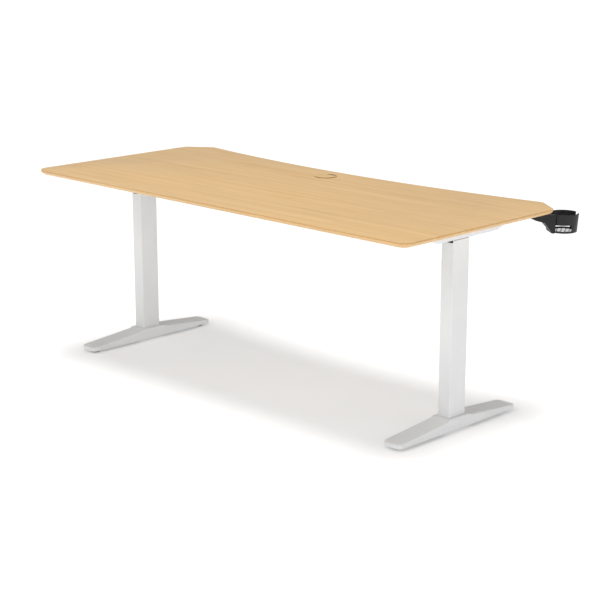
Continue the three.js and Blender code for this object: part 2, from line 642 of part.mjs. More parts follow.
// ---------------------------------------------------------------- cup holder
const cupFootRadius = cupRadius - 4.5;
const cupWall = 3.5;
const cupTop = frameTop; // level with the underside that the arm is screwed to
const cupBottom = cupTop - cupHeight;
const cupFloor = 3;
const armHeading = -90 - THREE.MathUtils.radToDeg(cutSlope); // degrees about Z, from the cup to its mount
// A window cut outwards through the cup wall; the outline is drawn as (sideways, z).
function wallWindow(outline, heading) {
  return alongX(polygon(outline), cupRadius * 0.4, cupRadius + 8).rotate([0, 0, heading]);
}

function hexHoles(pitch, radius) {
  const holes = [];
  for (let row = -2; row <= 2; row += 1) {
    for (let column = -2; column <= 2; column += 1) {
      const x = pitch * (column + (row % 2) / 2);
      const y = pitch * row * Math.sqrt(3) / 2;
      if (Math.hypot(x, y) < cupFootRadius - cupWall - radius) {
        holes.push(rod(radius, cupBottom - 1, cupBottom + cupFloor + 1, 6).translate([x, y, 0]));
      }
    }
  }
  return holes;
}

function buildCupHolder() {
  const { x, y } = onCupArm(0);
  const armDepth = 6.7;
  const inside = turned([
    [0, cupBottom + cupFloor], [cupFootRadius - cupWall, cupBottom + cupFloor],
    [cupRadius - cupWall, cupTop + 1], [0, cupTop + 1],
  ], 36);
  const outside = turned([
    [0, cupBottom], [cupFootRadius - 1, cupBottom], [cupFootRadius, cupBottom + 1],
    [cupRadius, cupTop - 1], [cupRadius - 1, cupTop], [0, cupTop],
  ], 36);
  const gussetView = polygon([
    [cupFootRadius - 8, cupBottom], [cupFootRadius + 3, cupBottom], [cupFootRadius + 6, cupBottom + 3],
    [cupFootRadius + 8, cupBottom + 11], [cupFootRadius + 26, cupBottom + 33],
    [cupFootRadius + 55, cupBottom + 42], [cupFootRadius + 73, cupBottom + 50],
    [cupFootRadius + 84, cupTop - armDepth], [armReach - armWidth / 2, cupTop - armDepth],
    [armReach - armWidth / 2, cupTop], [cupFootRadius - 8, cupTop],
  ]);
  const gusset = alongY(gussetView, -armWidth / 2, armWidth / 2);
  const armTip = rod(armWidth / 2, cupTop - armDepth, cupTop, 24).translate([armReach - armWidth / 2, 0, 0]);
  const screwReach = [armReach - 25, armReach - 9];
  const screwHoles = screwReach.map((reach) => rod(pilotRadius + fit, cupTop - 20, cupTop + 1, 12)
    .translate([reach, 0, 0]));
  const arm = cutBy(joined(gusset, armTip), ...screwHoles).rotate([0, 0, armHeading]);

  // The two big side windows are higher at the end away from the arm.
  const sill = cupBottom + 6;
  const bigWindow = (side) => {
    const outline = [[-27, sill], [27, sill], [27, cupTop - 27], [-21, cupTop - 35], [-27, cupTop - 40]];
    return wallWindow(side > 0 ? outline : outline.map(([across, z]) => [-across, z]).reverse(),
      armHeading + side * 73);
  };
  const slotHeading = armHeading + 180;
  const slot = wallWindow([[-14, cupBottom + cupFloor], [14, cupBottom + cupFloor], [14, cupTop + 2], [-14, cupTop + 2]],
    slotHeading);
  const slit = (side) => wallWindow([[-5, sill], [5, sill], [5, cupTop - 25], [-5, cupTop - 25]],
    slotHeading + side * 40);
  const cup = cutBy(joined(outside, arm), inside, bigWindow(1), bigWindow(-1), slit(1), slit(-1), slot,
    ...hexHoles(15.5, 8));
  place('cup_holder', toGeometry(cup.translate([x, y, 0])), blackPlastic);

  return screwReach.map((reach, index) => {
    const angle = degrees(armHeading);
    const spot = { x: x + reach * Math.cos(angle), y: y + reach * Math.sin(angle) };
    const headTop = cupTop - armDepth - fit;
    const screw = turned([
      [0, headTop - 2.6], [3, headTop - 2.6], [4.4, headTop - 1], [4.4, headTop],
      [pilotRadius, headTop], [pilotRadius, underside + pilotDepth - 2], [0, underside + pilotDepth - 1],
    ], 12);
    place(`cup_holder_screw_${index + 1}`, toGeometry(screw.translate([spot.x, spot.y, 0])), brightSteel);
    return spot;
  });
}

// ---------------------------------------------------------------- assembly
const motorEnds = {};
for (const [side, sign] of [['left', -1], ['right', 1]]) {
  const x = sign * legX;
  buildFoot(side, x);
  buildGlide(`${side}_rear_glide`, x, -glideOffset);
  buildGlide(`${side}_front_glide`, x, glideOffset);
  buildColumn(side, x);
  motorEnds[side] = buildDriveHead(side, x, -sign);
  buildSideBracket(side, x, -sign);
}
buildRail('rear', -railOffset);
buildRail('front', railOffset);
buildControlBox();
const handsetEnd = buildHandset();
buildLeads(motorEnds.left, motorEnds.right, handsetEnd);
buildGrommet();
const screwSpots = buildCupHolder();
buildTop(screwSpots);

// The origin sits on the floor in the middle of the whole desk, cup holder included.
const cup = onCupArm(0);
root.position.set(
  -(cup.x + cupRadius - topLength / 2) / 2,
  -(cup.y + cupRadius - topDepth / 2) / 2,
  0);

export default root;
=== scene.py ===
"""Looks of the height adjustable standing desk, built round its CAD frame. Metres, +Z up."""

import json
import math

import bmesh
import bpy
from mathutils import Matrix, Vector


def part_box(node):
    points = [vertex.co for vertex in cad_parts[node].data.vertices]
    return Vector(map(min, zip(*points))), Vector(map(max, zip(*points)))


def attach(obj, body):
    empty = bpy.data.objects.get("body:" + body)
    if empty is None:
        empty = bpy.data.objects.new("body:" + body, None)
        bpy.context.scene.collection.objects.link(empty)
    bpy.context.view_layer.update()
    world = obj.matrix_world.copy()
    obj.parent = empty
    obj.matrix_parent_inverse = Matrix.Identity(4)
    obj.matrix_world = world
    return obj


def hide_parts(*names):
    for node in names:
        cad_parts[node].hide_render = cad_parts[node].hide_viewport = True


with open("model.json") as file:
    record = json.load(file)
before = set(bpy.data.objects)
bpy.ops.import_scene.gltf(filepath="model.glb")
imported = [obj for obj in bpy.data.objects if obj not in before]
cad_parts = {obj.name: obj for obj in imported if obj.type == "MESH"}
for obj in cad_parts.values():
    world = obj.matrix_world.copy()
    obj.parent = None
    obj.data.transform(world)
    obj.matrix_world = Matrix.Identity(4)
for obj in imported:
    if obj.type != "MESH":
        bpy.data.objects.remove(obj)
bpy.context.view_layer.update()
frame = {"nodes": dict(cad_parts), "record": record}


# ------------------------------------------------------------------ small tools
def middle_of(node):
    low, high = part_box(node)
    return (low + high) / 2


def size_of(node):
    low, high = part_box(node)
    return high - low


def srgb(red, green, blue):
    """A colour given as 0 to 255 display values, as the linear colour that a shader takes."""
    def linear(value):
        value /= 255
        return value / 12.92 if value <= 0.04045 else ((value + 0.055) / 1.055) ** 2.4
    return (linear(red), linear(green), linear(blue), 1.0)


def make_piece(name, bm, material, body, replaced=()):
    """Turns a bmesh into a finished piece that rides on a body."""
    bmesh.ops.remove_doubles(bm, verts=bm.verts, dist=1e-6)
    bmesh.ops.recalc_face_normals(bm, faces=bm.faces)
    mesh = bpy.data.meshes.new(name)
    bm.to_mesh(mesh)
    bm.free()
    piece = bpy.data.objects.new(name, mesh)
    bpy.context.scene.collection.objects.link(piece)
    finish_piece(piece, material, body, replaced)
    return piece


def finish_piece(piece, material, body, replaced=()):
    piece.data.materials.clear()
    piece.data.materials.append(material)
    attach(piece, body)
    if replaced:
        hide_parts(*replaced)


def smooth(piece, angle=35):
    """Shades smoothly, and keeps every edge that turns more than the angle crisp."""
    piece.data.shade_smooth()
    piece.data.set_sharp_from_angle(angle=math.radians(angle))


def round_edges(piece, width, segments=3, angle=35):
    bevel = piece.modifiers.new("round_edges", "BEVEL")
    bevel.width = width
    bevel.segments = segments
    bevel.limit_method = "ANGLE"
    bevel.angle_limit = math.radians(angle)
    bevel.use_clamp_overlap = True
    bevel.harden_normals = False


def bake(piece):
    """Replaces a piece's mesh by what its modifiers make of it."""
    bpy.context.view_layer.update()
    graph = bpy.context.evaluated_depsgraph_get()
    mesh = bpy.data.meshes.new_from_object(piece.evaluated_get(graph))
    piece.modifiers.clear()
    piece.data = mesh


def carve(piece, cutters, operation="DIFFERENCE"):
    """Cuts the cutters, which are bmeshes, out of a piece."""
    tools = []
    for cutter in cutters:
        bmesh.ops.recalc_face_normals(cutter, faces=cutter.faces)
        mesh = bpy.data.meshes.new("cutter")
        cutter.to_mesh(mesh)
        cutter.free()
        tool = bpy.data.objects.new("cutter", mesh)
        bpy.context.scene.collection.objects.link(tool)
        tools.append(tool)
        boolean = piece.modifiers.new("carve", "BOOLEAN")
        boolean.object = tool
        boolean.operation = operation
        boolean.solver = "EXACT"
    bake(piece)
    for tool in tools:
        bpy.data.objects.remove(tool)


# ------------------------------------------------------------------ outlines and lofts
def arc(centre, radius, start, end, steps):
    """Points on an arc, angles in degrees."""
    points = []
    for step in range(steps + 1):
        angle = math.radians(start + (end - start) * step / steps)
        points.append(Vector((centre[0] + radius * math.cos(angle), centre[1] + radius * math.sin(angle))))
    return points


def rounded_rectangle(width, depth, radius, steps=6):
    half_w = width / 2 - radius
    half_d = depth / 2 - radius
    outline = []
    corners = [(half_w, half_d), (-half_w, half_d), (-half_w, -half_d), (half_w, -half_d)]
    for quarter, (x, y) in enumerate(corners):
        outline += arc((x, y), radius, 90 * quarter, 90 * quarter + 90, steps)
    return outline


def rounded(corners, radius, steps=4):
    """A closed outline with each corner replaced by an arc."""
    outline = []
    for index, corner in enumerate(corners):
        here = Vector(corner)
        to_last = Vector(corners[index - 1]) - here
        to_next = Vector(corners[(index + 1) % len(corners)]) - here
        half = to_last.angle(to_next) / 2
        reach = min(radius / math.tan(half), 0.45 * to_last.length, 0.45 * to_next.length)
        if math.pi / 2 - half < 0.01 or reach < 1e-6:
            outline.append(here)
            continue
        to_last.normalize()
        to_next.normalize()
        centre = here + (to_last + to_next).normalized() * (reach / math.cos(half))
        first = here + to_last * reach - centre
        sweep = math.pi - 2 * half
        if first.x * to_next.y - first.y * to_next.x < 0:
            sweep = -sweep
        for step in range(steps + 1):
            outline.append(centre + Matrix.Rotation(sweep * step / steps, 2) @ first)
    return outline


def ring(outline, z, at=(0, 0)):
    return [Vector((point[0] + at[0], point[1] + at[1], z)) for point in outline]


def loft(rings, closed=False, caps=True):
    """A bmesh whose skin runs from ring to ring. A closed loft joins the last ring to the first."""
    bm = bmesh.new()
    rows = [[bm.verts.new(point) for point in points] for points in rings]
    pairs = list(zip(rows, rows[1:]))
    if closed:
        pairs.append((rows[-1], rows[0]))
    for low, high in pairs:
        for index in range(len(low)):
            after = (index + 1) % len(low)
            bm.faces.new((low[index], low[after], high[after], high[index]))
    if caps and not closed:
        bm.faces.new(reversed(rows[0]))
        bm.faces.new(rows[-1])
    return bm


def circle(radius, sides=32):
    return arc((0, 0), radius, 0, 360 - 360 / sides, sides - 1)


def turned(profile, at=(0, 0), sides=32, closed=False):
    """A round solid about a vertical axis; the profile is a list of (radius, z)."""
    return loft([ring(circle(radius, sides), z, at) for radius, z in profile], closed)


def prism(outline, low, high, frame_matrix=Matrix.Identity(4)):
    """An outline in (x, y), extruded along z, in the given frame."""
    bm = loft([ring(outline, low), ring(outline, high)])
    bmesh.ops.transform(bm, matrix=frame_matrix, verts=bm.verts)
    return bm


def merged(parts):
    """Several bmeshes as one."""
    whole = bmesh.new()
    for part in parts:
        mesh = bpy.data.meshes.new("part")
        part.to_mesh(mesh)
        part.free()
        whole.from_mesh(mesh)
        bpy.data.meshes.remove(mesh)
    return whole


# ------------------------------------------------------------------ materials
class Shader:
    """A short way to write a node tree."""

    def __init__(self, name, roughness=0.5, metallic=0.0, specular=0.5):
        self.material = bpy.data.materials.new(name)
        self.material.use_nodes = True
        self.tree = self.material.node_tree
        self.tree.nodes.clear()
        self.out = self.tree.nodes.new("ShaderNodeOutputMaterial")
        self.main = self.tree.nodes.new("ShaderNodeBsdfPrincipled")
        self.main.inputs["Roughness"].default_value = roughness
        self.main.inputs["Metallic"].default_value = metallic
        self.main.inputs["Specular IOR Level"].default_value = specular
        self.tree.links.new(self.main.outputs["BSDF"], self.out.inputs["Surface"])
        self.place = self.tree.nodes.new("ShaderNodeTexCoord").outputs["Object"]

    def node(self, kind, settings=None, **sockets):
        node = self.tree.nodes.new(kind)
        for key, value in (settings or {}).items():
            setattr(node, key, value)
        for key, value in sockets.items():
            self.feed(node.inputs[key.replace("_", " ")], value)
        return node

    def feed(self, socket, value):
        if isinstance(value, bpy.types.NodeSocket):
            self.tree.links.new(value, socket)
        else:
            socket.default_value = value

    def stretched(self, x, y, z):
        """Object coordinates, scaled by so many cycles a metre along each axis."""
        return self.node("ShaderNodeMapping", Vector=self.place, Scale=(x, y, z)).outputs["Vector"]

    def noise(self, vector, scale=1.0, detail=3.0, roughness=0.5, distortion=0.0):
        return self.node("ShaderNodeTexNoise", Vector=vector, Scale=scale, Detail=detail,
                         Roughness=roughness, Distortion=distortion).outputs["Fac"]

    def ramp(self, value, stops):
        """Colours by value; stops is a list of (position, colour)."""
        node = self.node("ShaderNodeValToRGB", Fac=value)
        while len(node.color_ramp.elements) < len(stops):
            node.color_ramp.elements.new(0.5)
        for element, (position, colour) in zip(node.color_ramp.elements, stops):
            element.position = position
            element.color = colour
        return node.outputs["Color"]

    def spread(self, value, low, high):
        """A value from 0.25 to 0.75, moved to low to high."""
        return self.node("ShaderNodeMapRange", Value=value, From_Min=0.25, From_Max=0.75,
                         To_Min=low, To_Max=high).outputs["Result"]

    def blend(self, kind, factor, first, second):
        node = self.node("ShaderNodeMix", {"data_type": "RGBA", "blend_type": kind})
        self.feed(node.inputs["Factor"], factor)
        self.feed(node.inputs[6], first)
        self.feed(node.inputs[7], second)
        return node.outputs[2]

    def add(self, first, second):
        return self._math("ADD", first, second)

    def times(self, first, second):
        return self._math("MULTIPLY", first, second)

    def below(self, value, limit):
        """1 where the value is under the limit, 0 where it is over."""
        return self._math("LESS_THAN", value, limit)

    def _math(self, operation, first, second):
        node = self.node("ShaderNodeMath", {"operation": operation})
        self.feed(node.inputs[0], first)
        self.feed(node.inputs[1], second)
        return node.outputs["Value"]

    def colour(self, value):
        self.feed(self.main.inputs["Base Color"], value)

    def roughness(self, value):
        self.feed(self.main.inputs["Roughness"], value)

    def bump(self, height, distance, strength=1.0):
        node = self.node("ShaderNodeBump", Height=height, Distance=distance, Strength=strength)
        self.feed(self.main.inputs["Normal"], node.outputs["Normal"])


EDGE_BAND = 0.005
ARRIS = 0.0012
WOOD_DARK = srgb(208, 171, 119)
WOOD_MIDDLE = srgb(222, 188, 138)
WOOD_LIGHT = srgb(231, 201, 155)
# painted shade: a darker tint multiplied onto the top's vertical edge face, standing in for the shade that
# falls on that face
EDGE_PAINTED_SHADE = srgb(238, 224, 206)
BEVEL_TINT = srgb(255, 255, 255)
BACKING = srgb(226, 222, 216)


def wood_material(name):
    """Pale veneer with its grain along X, painted shade darkening the vertical edge band, and a pale backing
    sheet underneath.
    """
    wood = Shader(name, roughness=0.45, specular=0.35)
    drift = wood.noise(wood.stretched(0.7, 2.2, 2.2), 1.0, 2.0)
    figure = wood.noise(wood.stretched(1.2, 46, 46), 1.0, 3.0, 0.5, 0.3)
    streaks = wood.noise(wood.stretched(4, 190, 190), 1.0, 3.0, 0.55, 0.2)
    fibres = wood.noise(wood.stretched(18, 800, 800), 1.0, 2.0, 0.6)
    grain = wood.add(wood.times(figure, 0.34), wood.add(wood.times(streaks, 0.42), wood.times(fibres, 0.24)))
    tone = wood.ramp(grain, [(0.32, WOOD_DARK), (0.50, WOOD_MIDDLE), (0.68, WOOD_LIGHT)])
    warm = wood.ramp(drift, [(0.35, srgb(255, 249, 240)), (0.65, srgb(248, 247, 247))])
    face = wood.blend("MULTIPLY", 1.0, tone, warm)
    height = wood.node("ShaderNodeSeparateXYZ", Vector=wood.place).outputs["Z"]
    work_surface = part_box("desktop")[1].z
    on_edge = wood.below(height, work_surface - ARRIS)
    on_bevel = wood.below(height, work_surface - EDGE_BAND)
    # painted shade on the vertical edge band between the arris and the bevel; the bevel below keeps the plain
    # wood colour
    band_painted_shade = wood.blend("MIX", on_bevel, EDGE_PAINTED_SHADE, BEVEL_TINT)
    sides = wood.blend("MULTIPLY", 1.0, face, band_painted_shade)
    backing = wood.below(height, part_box("desktop")[0].z + 0.0004)
    wood.colour(wood.blend("MIX", backing, wood.blend("MIX", on_edge, face, sides), BACKING))
    wood.roughness(wood.spread(streaks, 0.42, 0.54))
    wood.bump(fibres, 0.00005, 0.5)
    return wood.material


def powder_coat(name):
    """White powder coat on steel: a fine orange peel and a faint unevenness."""
    coat = Shader(name, roughness=0.42, specular=0.45)
    peel = coat.noise(coat.stretched(1, 1, 1), 620.0, 2.0)
    patches = coat.noise(coat.stretched(1, 1, 1), 9.0, 3.0)
    coat.colour(coat.ramp(patches, [(0.3, srgb(229, 230, 231)), (0.7, srgb(234, 234, 234))]))
    coat.roughness(coat.spread(patches, 0.38, 0.48))
    coat.bump(peel, 0.00008, 0.35)
    return coat.material


def moulded_plastic(name, dark, light, grain=1500.0, shine=(0.42, 0.55)):
    """Black moulded plastic with a spark-eroded grain."""
    plastic = Shader(name, specular=0.45)
    pits = plastic.noise(plastic.stretched(1, 1, 1), grain, 2.0)
    flow = plastic.noise(plastic.stretched(1, 1, 1), 26.0, 3.0)
    plastic.colour(plastic.ramp(flow, [(0.3, dark), (0.7, light)]))
    plastic.roughness(plastic.spread(flow, *shine))
    plastic.bump(pits, 0.00005, 0.5)
    return plastic.material


def rubber_material(name):
    rubber = Shader(name, specular=0.3)
    dust = rubber.noise(rubber.stretched(1, 1, 1), 140.0, 4.0)
    rubber.colour(rubber.ramp(dust, [(0.35, srgb(26, 26, 27)), (0.7, srgb(44, 43, 42))]))
    rubber.roughness(rubber.spread(dust, 0.72, 0.9))
    rubber.bump(dust, 0.0001, 0.5)
    return rubber.material


def drawn_steel(name, dark, light, along=(1, 1, 40), metallic=1.0):
    """Bright metal with fine lines drawn or turned into it."""
    steel = Shader(name, metallic=metallic)
    lines = steel.noise(steel.stretched(*along), 60.0, 3.0)
    stains = steel.noise(steel.stretched(1, 1, 1), 30.0, 3.0)
    steel.colour(steel.ramp(stains, [(0.3, dark), (0.7, light)]))
    steel.roughness(steel.spread(lines, 0.22, 0.38))
    steel.bump(lines, 0.00004, 0.5)
    return steel.material


def cast_alloy(name):
    alloy = Shader(name, metallic=0.85)
    skin = alloy.noise(alloy.stretched(1, 1, 1), 420.0, 4.0, 0.65)
    shade = alloy.noise(alloy.stretched(1, 1, 1), 40.0, 3.0)
    alloy.colour(alloy.ramp(shade, [(0.3, srgb(146, 148, 150)), (0.7, srgb(176, 178, 180))]))
    alloy.roughness(alloy.spread(skin, 0.42, 0.62))
    alloy.bump(skin, 0.00015, 0.6)
    return alloy.material


def circuit_board(name):
    """Green solder resist over copper tracks."""
    board = Shader(name, roughness=0.35)
    tracks = board.node("ShaderNodeTexBrick", {"offset": 0.37}, Vector=board.stretched(1, 1, 1), Scale=240.0,
                        Mortar_Size=0.05, Mortar_Smooth=0.1, Brick_Width=0.9, Row_Height=0.3).outputs["Fac"]
    fibre = board.noise(board.stretched(1, 1, 1), 900.0, 2.0)
    green = board.ramp(fibre, [(0.3, srgb(20, 82, 48)), (0.7, srgb(28, 98, 58))])
    board.colour(board.blend("MIX", board.times(tracks, 0.55), green, srgb(66, 132, 72)))
    board.bump(tracks, 0.00004, 0.6)
    return board.material


def display_glass(name):
    glass = Shader(name, roughness=0.08, specular=0.6)
    smudge = glass.noise(glass.stretched(1, 1, 1), 90.0, 3.0)
    glass.colour(glass.ramp(smudge, [(0.3, srgb(7, 8, 11)), (0.7, srgb(12, 14, 18))]))
    glass.roughness(glass.spread(smudge, 0.05, 0.12))
    return glass.material


def printed_white(name):
    ink = Shader(name, roughness=0.5)
    speckle = ink.noise(ink.stretched(1, 1, 1), 2500.0, 2.0)
    ink.colour(ink.ramp(speckle, [(0.3, srgb(206, 208, 210)), (0.6, srgb(226, 227, 228))]))
    return ink.material


materials = {
    "wood_top": wood_material("wood_top"),
    "wood_cap": wood_material("wood_cap"),
    "white_paint": powder_coat("white_paint"),
    "black_plastic": moulded_plastic("black_plastic", srgb(13, 13, 14), srgb(19, 19, 20)),
    "rubber": rubber_material("rubber"),
    "bright_steel": drawn_steel("bright_steel", srgb(178, 180, 182), srgb(202, 203, 204)),
    "brass": drawn_steel("brass", srgb(186, 152, 78), srgb(206, 174, 98)),
    "cast_alloy": cast_alloy("cast_alloy"),
    "black_steel": moulded_plastic("black_steel", srgb(33, 33, 35), srgb(42, 42, 44), 700.0, (0.3, 0.42)),
    "circuit_board": circuit_board("circuit_board"),
    "display": display_glass("display"),
    "button": moulded_plastic("button", srgb(52, 53, 55), srgb(62, 63, 65), 1200.0, (0.6, 0.72)),
    "cable": moulded_plastic("cable", srgb(18, 18, 19), srgb(26, 26, 27), 900.0, (0.5, 0.62)),
    "print": printed_white("print"),
}


# ------------------------------------------------------------------ desktop
UNDERCUT = 0.060
GROMMET_HOLE = 0.037
TOP_DEPTH = 0.800
NEAR_CORNER = 0.046
FAR_CORNER = 0.025
CORNER_CUT = 0.095
CUT_SLOPE = math.radians(36)
FAR_LEAN = math.radians(9.5)


def desk_middle():
    """The middle of the top, between its near edge and the tips of its scooped edge."""
    low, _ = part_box("desktop")
    return Vector((middle_of("desktop").x, low.y + TOP_DEPTH / 2, 0))


def corner_arc(corner, facing_a, facing_b, inset):
    """Centre and radius of the arc that rounds a corner between two edges drawn in by the inset."""
    radius = max(FAR_CORNER - inset, 0.006)
    back = (inset + radius) / (1 + facing_a.dot(facing_b))
    return corner - (facing_a + facing_b) * back, radius


def top_outline(inset):
    """The desktop's outline, drawn in by the inset. The far edge is a parabola between two cut corners."""
    half_x = size_of("desktop").x / 2
    half_y = TOP_DEPTH / 2
    near = max(NEAR_CORNER - inset, 0.010)
    near_x = half_x - inset - near
    near_y = inset + near - half_y
    cut_facing = Vector((math.sin(CUT_SLOPE), math.cos(CUT_SLOPE)))
    scoop_facing = Vector((-math.sin(FAR_LEAN), math.cos(FAR_LEAN)))
    tip = Vector((half_x - CORNER_CUT, half_y))
    heel = Vector((half_x, half_y - CORNER_CUT * math.tan(CUT_SLOPE)))
    tip_arc, radius = corner_arc(tip, cut_facing, scoop_facing, inset)
    heel_arc, _ = corner_arc(heel, Vector((1, 0)), cut_facing, inset)
    cut_turn = 90 - math.degrees(CUT_SLOPE)
    scoop_turn = 90 + math.degrees(FAR_LEAN)
    meet = tip_arc + scoop_facing * radius
    bend = math.tan(FAR_LEAN) / (2 * meet.x)
    right_side = arc((near_x, near_y), near, -90, 0, 14)
    right_side += arc(heel_arc, radius, 0, cut_turn, 12)
    right_side += arc(tip_arc, radius, cut_turn, scoop_turn, 12)
    steps = 48
    scoop = []
    for step in range(1, steps):
        x = meet.x * (1 - 2 * step / steps)
        scoop.append(Vector((x, meet.y - bend * (meet.x ** 2 - x ** 2))))
    return right_side + scoop + [Vector((-point.x, point.y)) for point in reversed(right_side)]


def build_desktop():
    low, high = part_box("desktop")
    at = desk_middle()
    levels = []
    for angle in range(90, -1, -9):
        turn = math.radians(angle)
        rise = (high.z - low.z - EDGE_BAND) * (1 - math.sin(turn))
        levels.append((UNDERCUT * (1 - math.cos(turn)), low.z + rise))
    for angle in range(0, 91, 30):
        turn = math.radians(angle)
        levels.append((ARRIS * (1 - math.cos(turn)), high.z - ARRIS + ARRIS * math.sin(turn)))
    rings = [ring(top_outline(inset), z, at) for inset, z in levels]
    bm = loft(rings, caps=False)
    bm.verts.ensure_lookup_table()
    count = len(rings[0])

    hole_at = middle_of("grommet_sleeve")
    sides = 64
    loops = []
    for z in (low.z, high.z):
        loops.append([bm.verts.new(point) for point in ring(circle(GROMMET_HOLE, sides), z, hole_at)])
    for index in range(sides):
        after = (index + 1) % sides
        bm.faces.new((loops[0][after], loops[0][index], loops[1][index], loops[1][after]))
    bm.verts.ensure_lookup_table()
    rims = [bm.verts[:count], bm.verts[count * (len(rings) - 1):count * len(rings)]]
    for rim, hole in zip(rims, loops):
        edges = []
        for loop in (rim, hole):
            for index in range(len(loop)):
                pair = (loop[index], loop[(index + 1) % len(loop)])
                edges.append(bm.edges.get(pair) or bm.edges.new(pair))
        bmesh.ops.triangle_fill(bm, use_beauty=True, edges=edges)
    piece = make_piece("desktop_panel", bm, materials["wood_top"], "lifting_top", ["desktop"])
    smooth(piece, 25)


# ------------------------------------------------------------------ feet
def build_foot(side):
    """A foot that falls away from the column's plateau to two rounded ends, hollow underneath."""
    low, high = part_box(f"{side}_foot")
    at = middle_of(f"{side}_foot")
    half = size_of(f"{side}_foot") / 2
    column = size_of(f"{side}_outer_tube") / 2
    plateau = column.y + 0.009
    shoulder = high.z - 0.005
    end_top = low.z + 0.014
    corner = 0.018
    edge = 0.0018

    def top_at(y):
        reach = abs(y)
        if reach <= plateau:
            return high.z
        if reach <= plateau + 0.010:
            return high.z + (shoulder - high.z) * (reach - plateau) / 0.010
        slope = (end_top - shoulder) / (half.y - 0.004 - plateau - 0.010)
        height = shoulder + slope * (reach - plateau - 0.010)
        past = reach - (half.y - 0.004)
        if past > 0:
            height = end_top - 0.003 * (1 - math.sqrt(max(0, 1 - (past / 0.004) ** 2)))
        return height

    def half_width_at(y):
        past = abs(y) - (half.y - corner)
        if past <= 0:
            return half.x
        return half.x - corner + math.sqrt(max(0, corner ** 2 - past ** 2))

    stations = [plateau, plateau + 0.010, half.y - corner]
    stations += [half.y - corner + corner * math.sin(math.radians(angle)) for angle in range(10, 91, 8)]
    stations += [half.y - 0.004]
    stations = sorted(set(round(y, 6) for y in stations))
    stations = [-y for y in reversed(stations)] + stations
    sections = []
    for y in stations:
        width = half_width_at(y)
        height = top_at(y)
        side_points = arc((width - edge, height - edge), edge, 0, 90, 4)
        right = [Vector((width, low.z + 0.0006)), *side_points]
        left = [Vector((-point.x, point.y)) for point in reversed(right)]
        outline = [Vector((width - 0.0006, low.z)), *right, *left, Vector((0.0006 - width, low.z))]
        sections.append([Vector((at.x + point.x, at.y + y, point.y)) for point in outline])
    bm = loft(sections)
    piece = make_piece(f"{side}_foot_casting", bm, materials["white_paint"], "base",
                       [f"{side}_foot"])

    glide_reach = abs(middle_of(f"{side}_front_glide").y - at.y)
    cutters = []
    skin = 0.003
    for sign in (-1, 1):
        start, end = plateau + 0.014, glide_reach - 0.024
        outline = rounded_rectangle(2 * (half.x - skin), end - start, 0.006, 4)
        middle_y = at.y + sign * (start + end) / 2
        floor_ring = ring(outline, low.z - 0.001, (at.x, middle_y))
        top_ring = [Vector((point.x, point.y, top_at(point.y - at.y) - skin)) for point in floor_ring]
        cutters.append(loft([floor_ring, top_ring]))
        cutters.append(turned([(0.0053, low.z - 0.001), (0.0053, end_top + 0.001)],
                              (at.x, at.y + sign * glide_reach), 24))
    cutters.append(turned([(0.0088, low.z - 0.001), (0.0088, low.z + 0.012), (0.0053, low.z + 0.012),
                           (0.0053, high.z + 0.001)], (at.x, at.y), 32))
    carve(piece, cutters)
    smooth(piece, 22)


# ------------------------------------------------------------------ columns
COLLAR_LIP = 0.008


def build_tube(side):
    """A rectangular tube, notched at the top of its narrow faces for the collar's lip."""
    low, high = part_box(f"{side}_outer_tube")
    at = middle_of(f"{side}_outer_tube")
    size = high - low
    wall = 0.0025
    base = 0.005
    lip = 0.0004

    def outer(inset, z):
        return ring(rounded_rectangle(size.x - 2 * inset, size.y - 2 * inset, 0.004 - inset, 8), z, at)

    def inner(z):
        return ring(rounded_rectangle(size.x - 2 * wall, size.y - 2 * wall, 0.002, 8), z, at)

    bm = loft([outer(lip, low.z), outer(0, low.z + lip), outer(0, high.z - lip), outer(lip, high.z),
               inner(high.z), inner(low.z + base)])
    piece = make_piece(f"{side}_column_tube", bm, materials["white_paint"], "base",
                       [f"{side}_outer_tube"])
    bolt_hole = turned([(0.0053, low.z - 0.001), (0.0053, low.z + base + 0.001)], (at.x, at.y), 24)
    notch = rounded_rectangle(size.x - 2 * wall, size.y + 0.002, 0.0005, 2)
    collar_notch = loft([ring(notch, high.z - COLLAR_LIP, at), ring(notch, high.z + 0.001, at)])
    carve(piece, [bolt_hole, collar_notch])
    smooth(piece, 30)


def build_collar(side):
    """The black guide collar: a lip on the tube's end and a sleeve inside it."""
    low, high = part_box(f"{side}_guide_collar")
    _, tube_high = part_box(f"{side}_outer_tube")
    at = middle_of(f"{side}_guide_collar")
    inner_size = size_of(f"{side}_inner_tube")
    size = high - low
    seat = tube_high.z - COLLAR_LIP + 0.0003
    edge = 0.0008

    def outline(width, depth, radius, z):
        return ring(rounded_rectangle(width, depth, radius, 8), z, at)

    sleeve_w, sleeve_d = size.x - 0.0002, size.y - 0.0056
    bore_w, bore_d = inner_size.x + 0.0006, inner_size.y + 0.0006
    bm = loft([
        outline(sleeve_w, sleeve_d, 0.002, low.z), outline(sleeve_w, sleeve_d, 0.002, seat),
        outline(size.x, size.y, 0.002, seat), outline(size.x, size.y, 0.002, high.z - edge),
        outline(size.x - edge / 2, size.y - edge / 2, 0.002, high.z - edge / 3),
        outline(size.x - 2 * edge, size.y - 2 * edge, 0.002, high.z),
        outline(bore_w + 2 * edge, bore_d + 2 * edge, 0.0026, high.z),
        outline(bore_w, bore_d, 0.0018, high.z - edge), outline(bore_w, bore_d, 0.0018, low.z),
    ], closed=True)
    piece = make_piece(f"{side}_column_collar", bm, materials["black_plastic"], "base",
                       [f"{side}_guide_collar"])
    smooth(piece, 30)


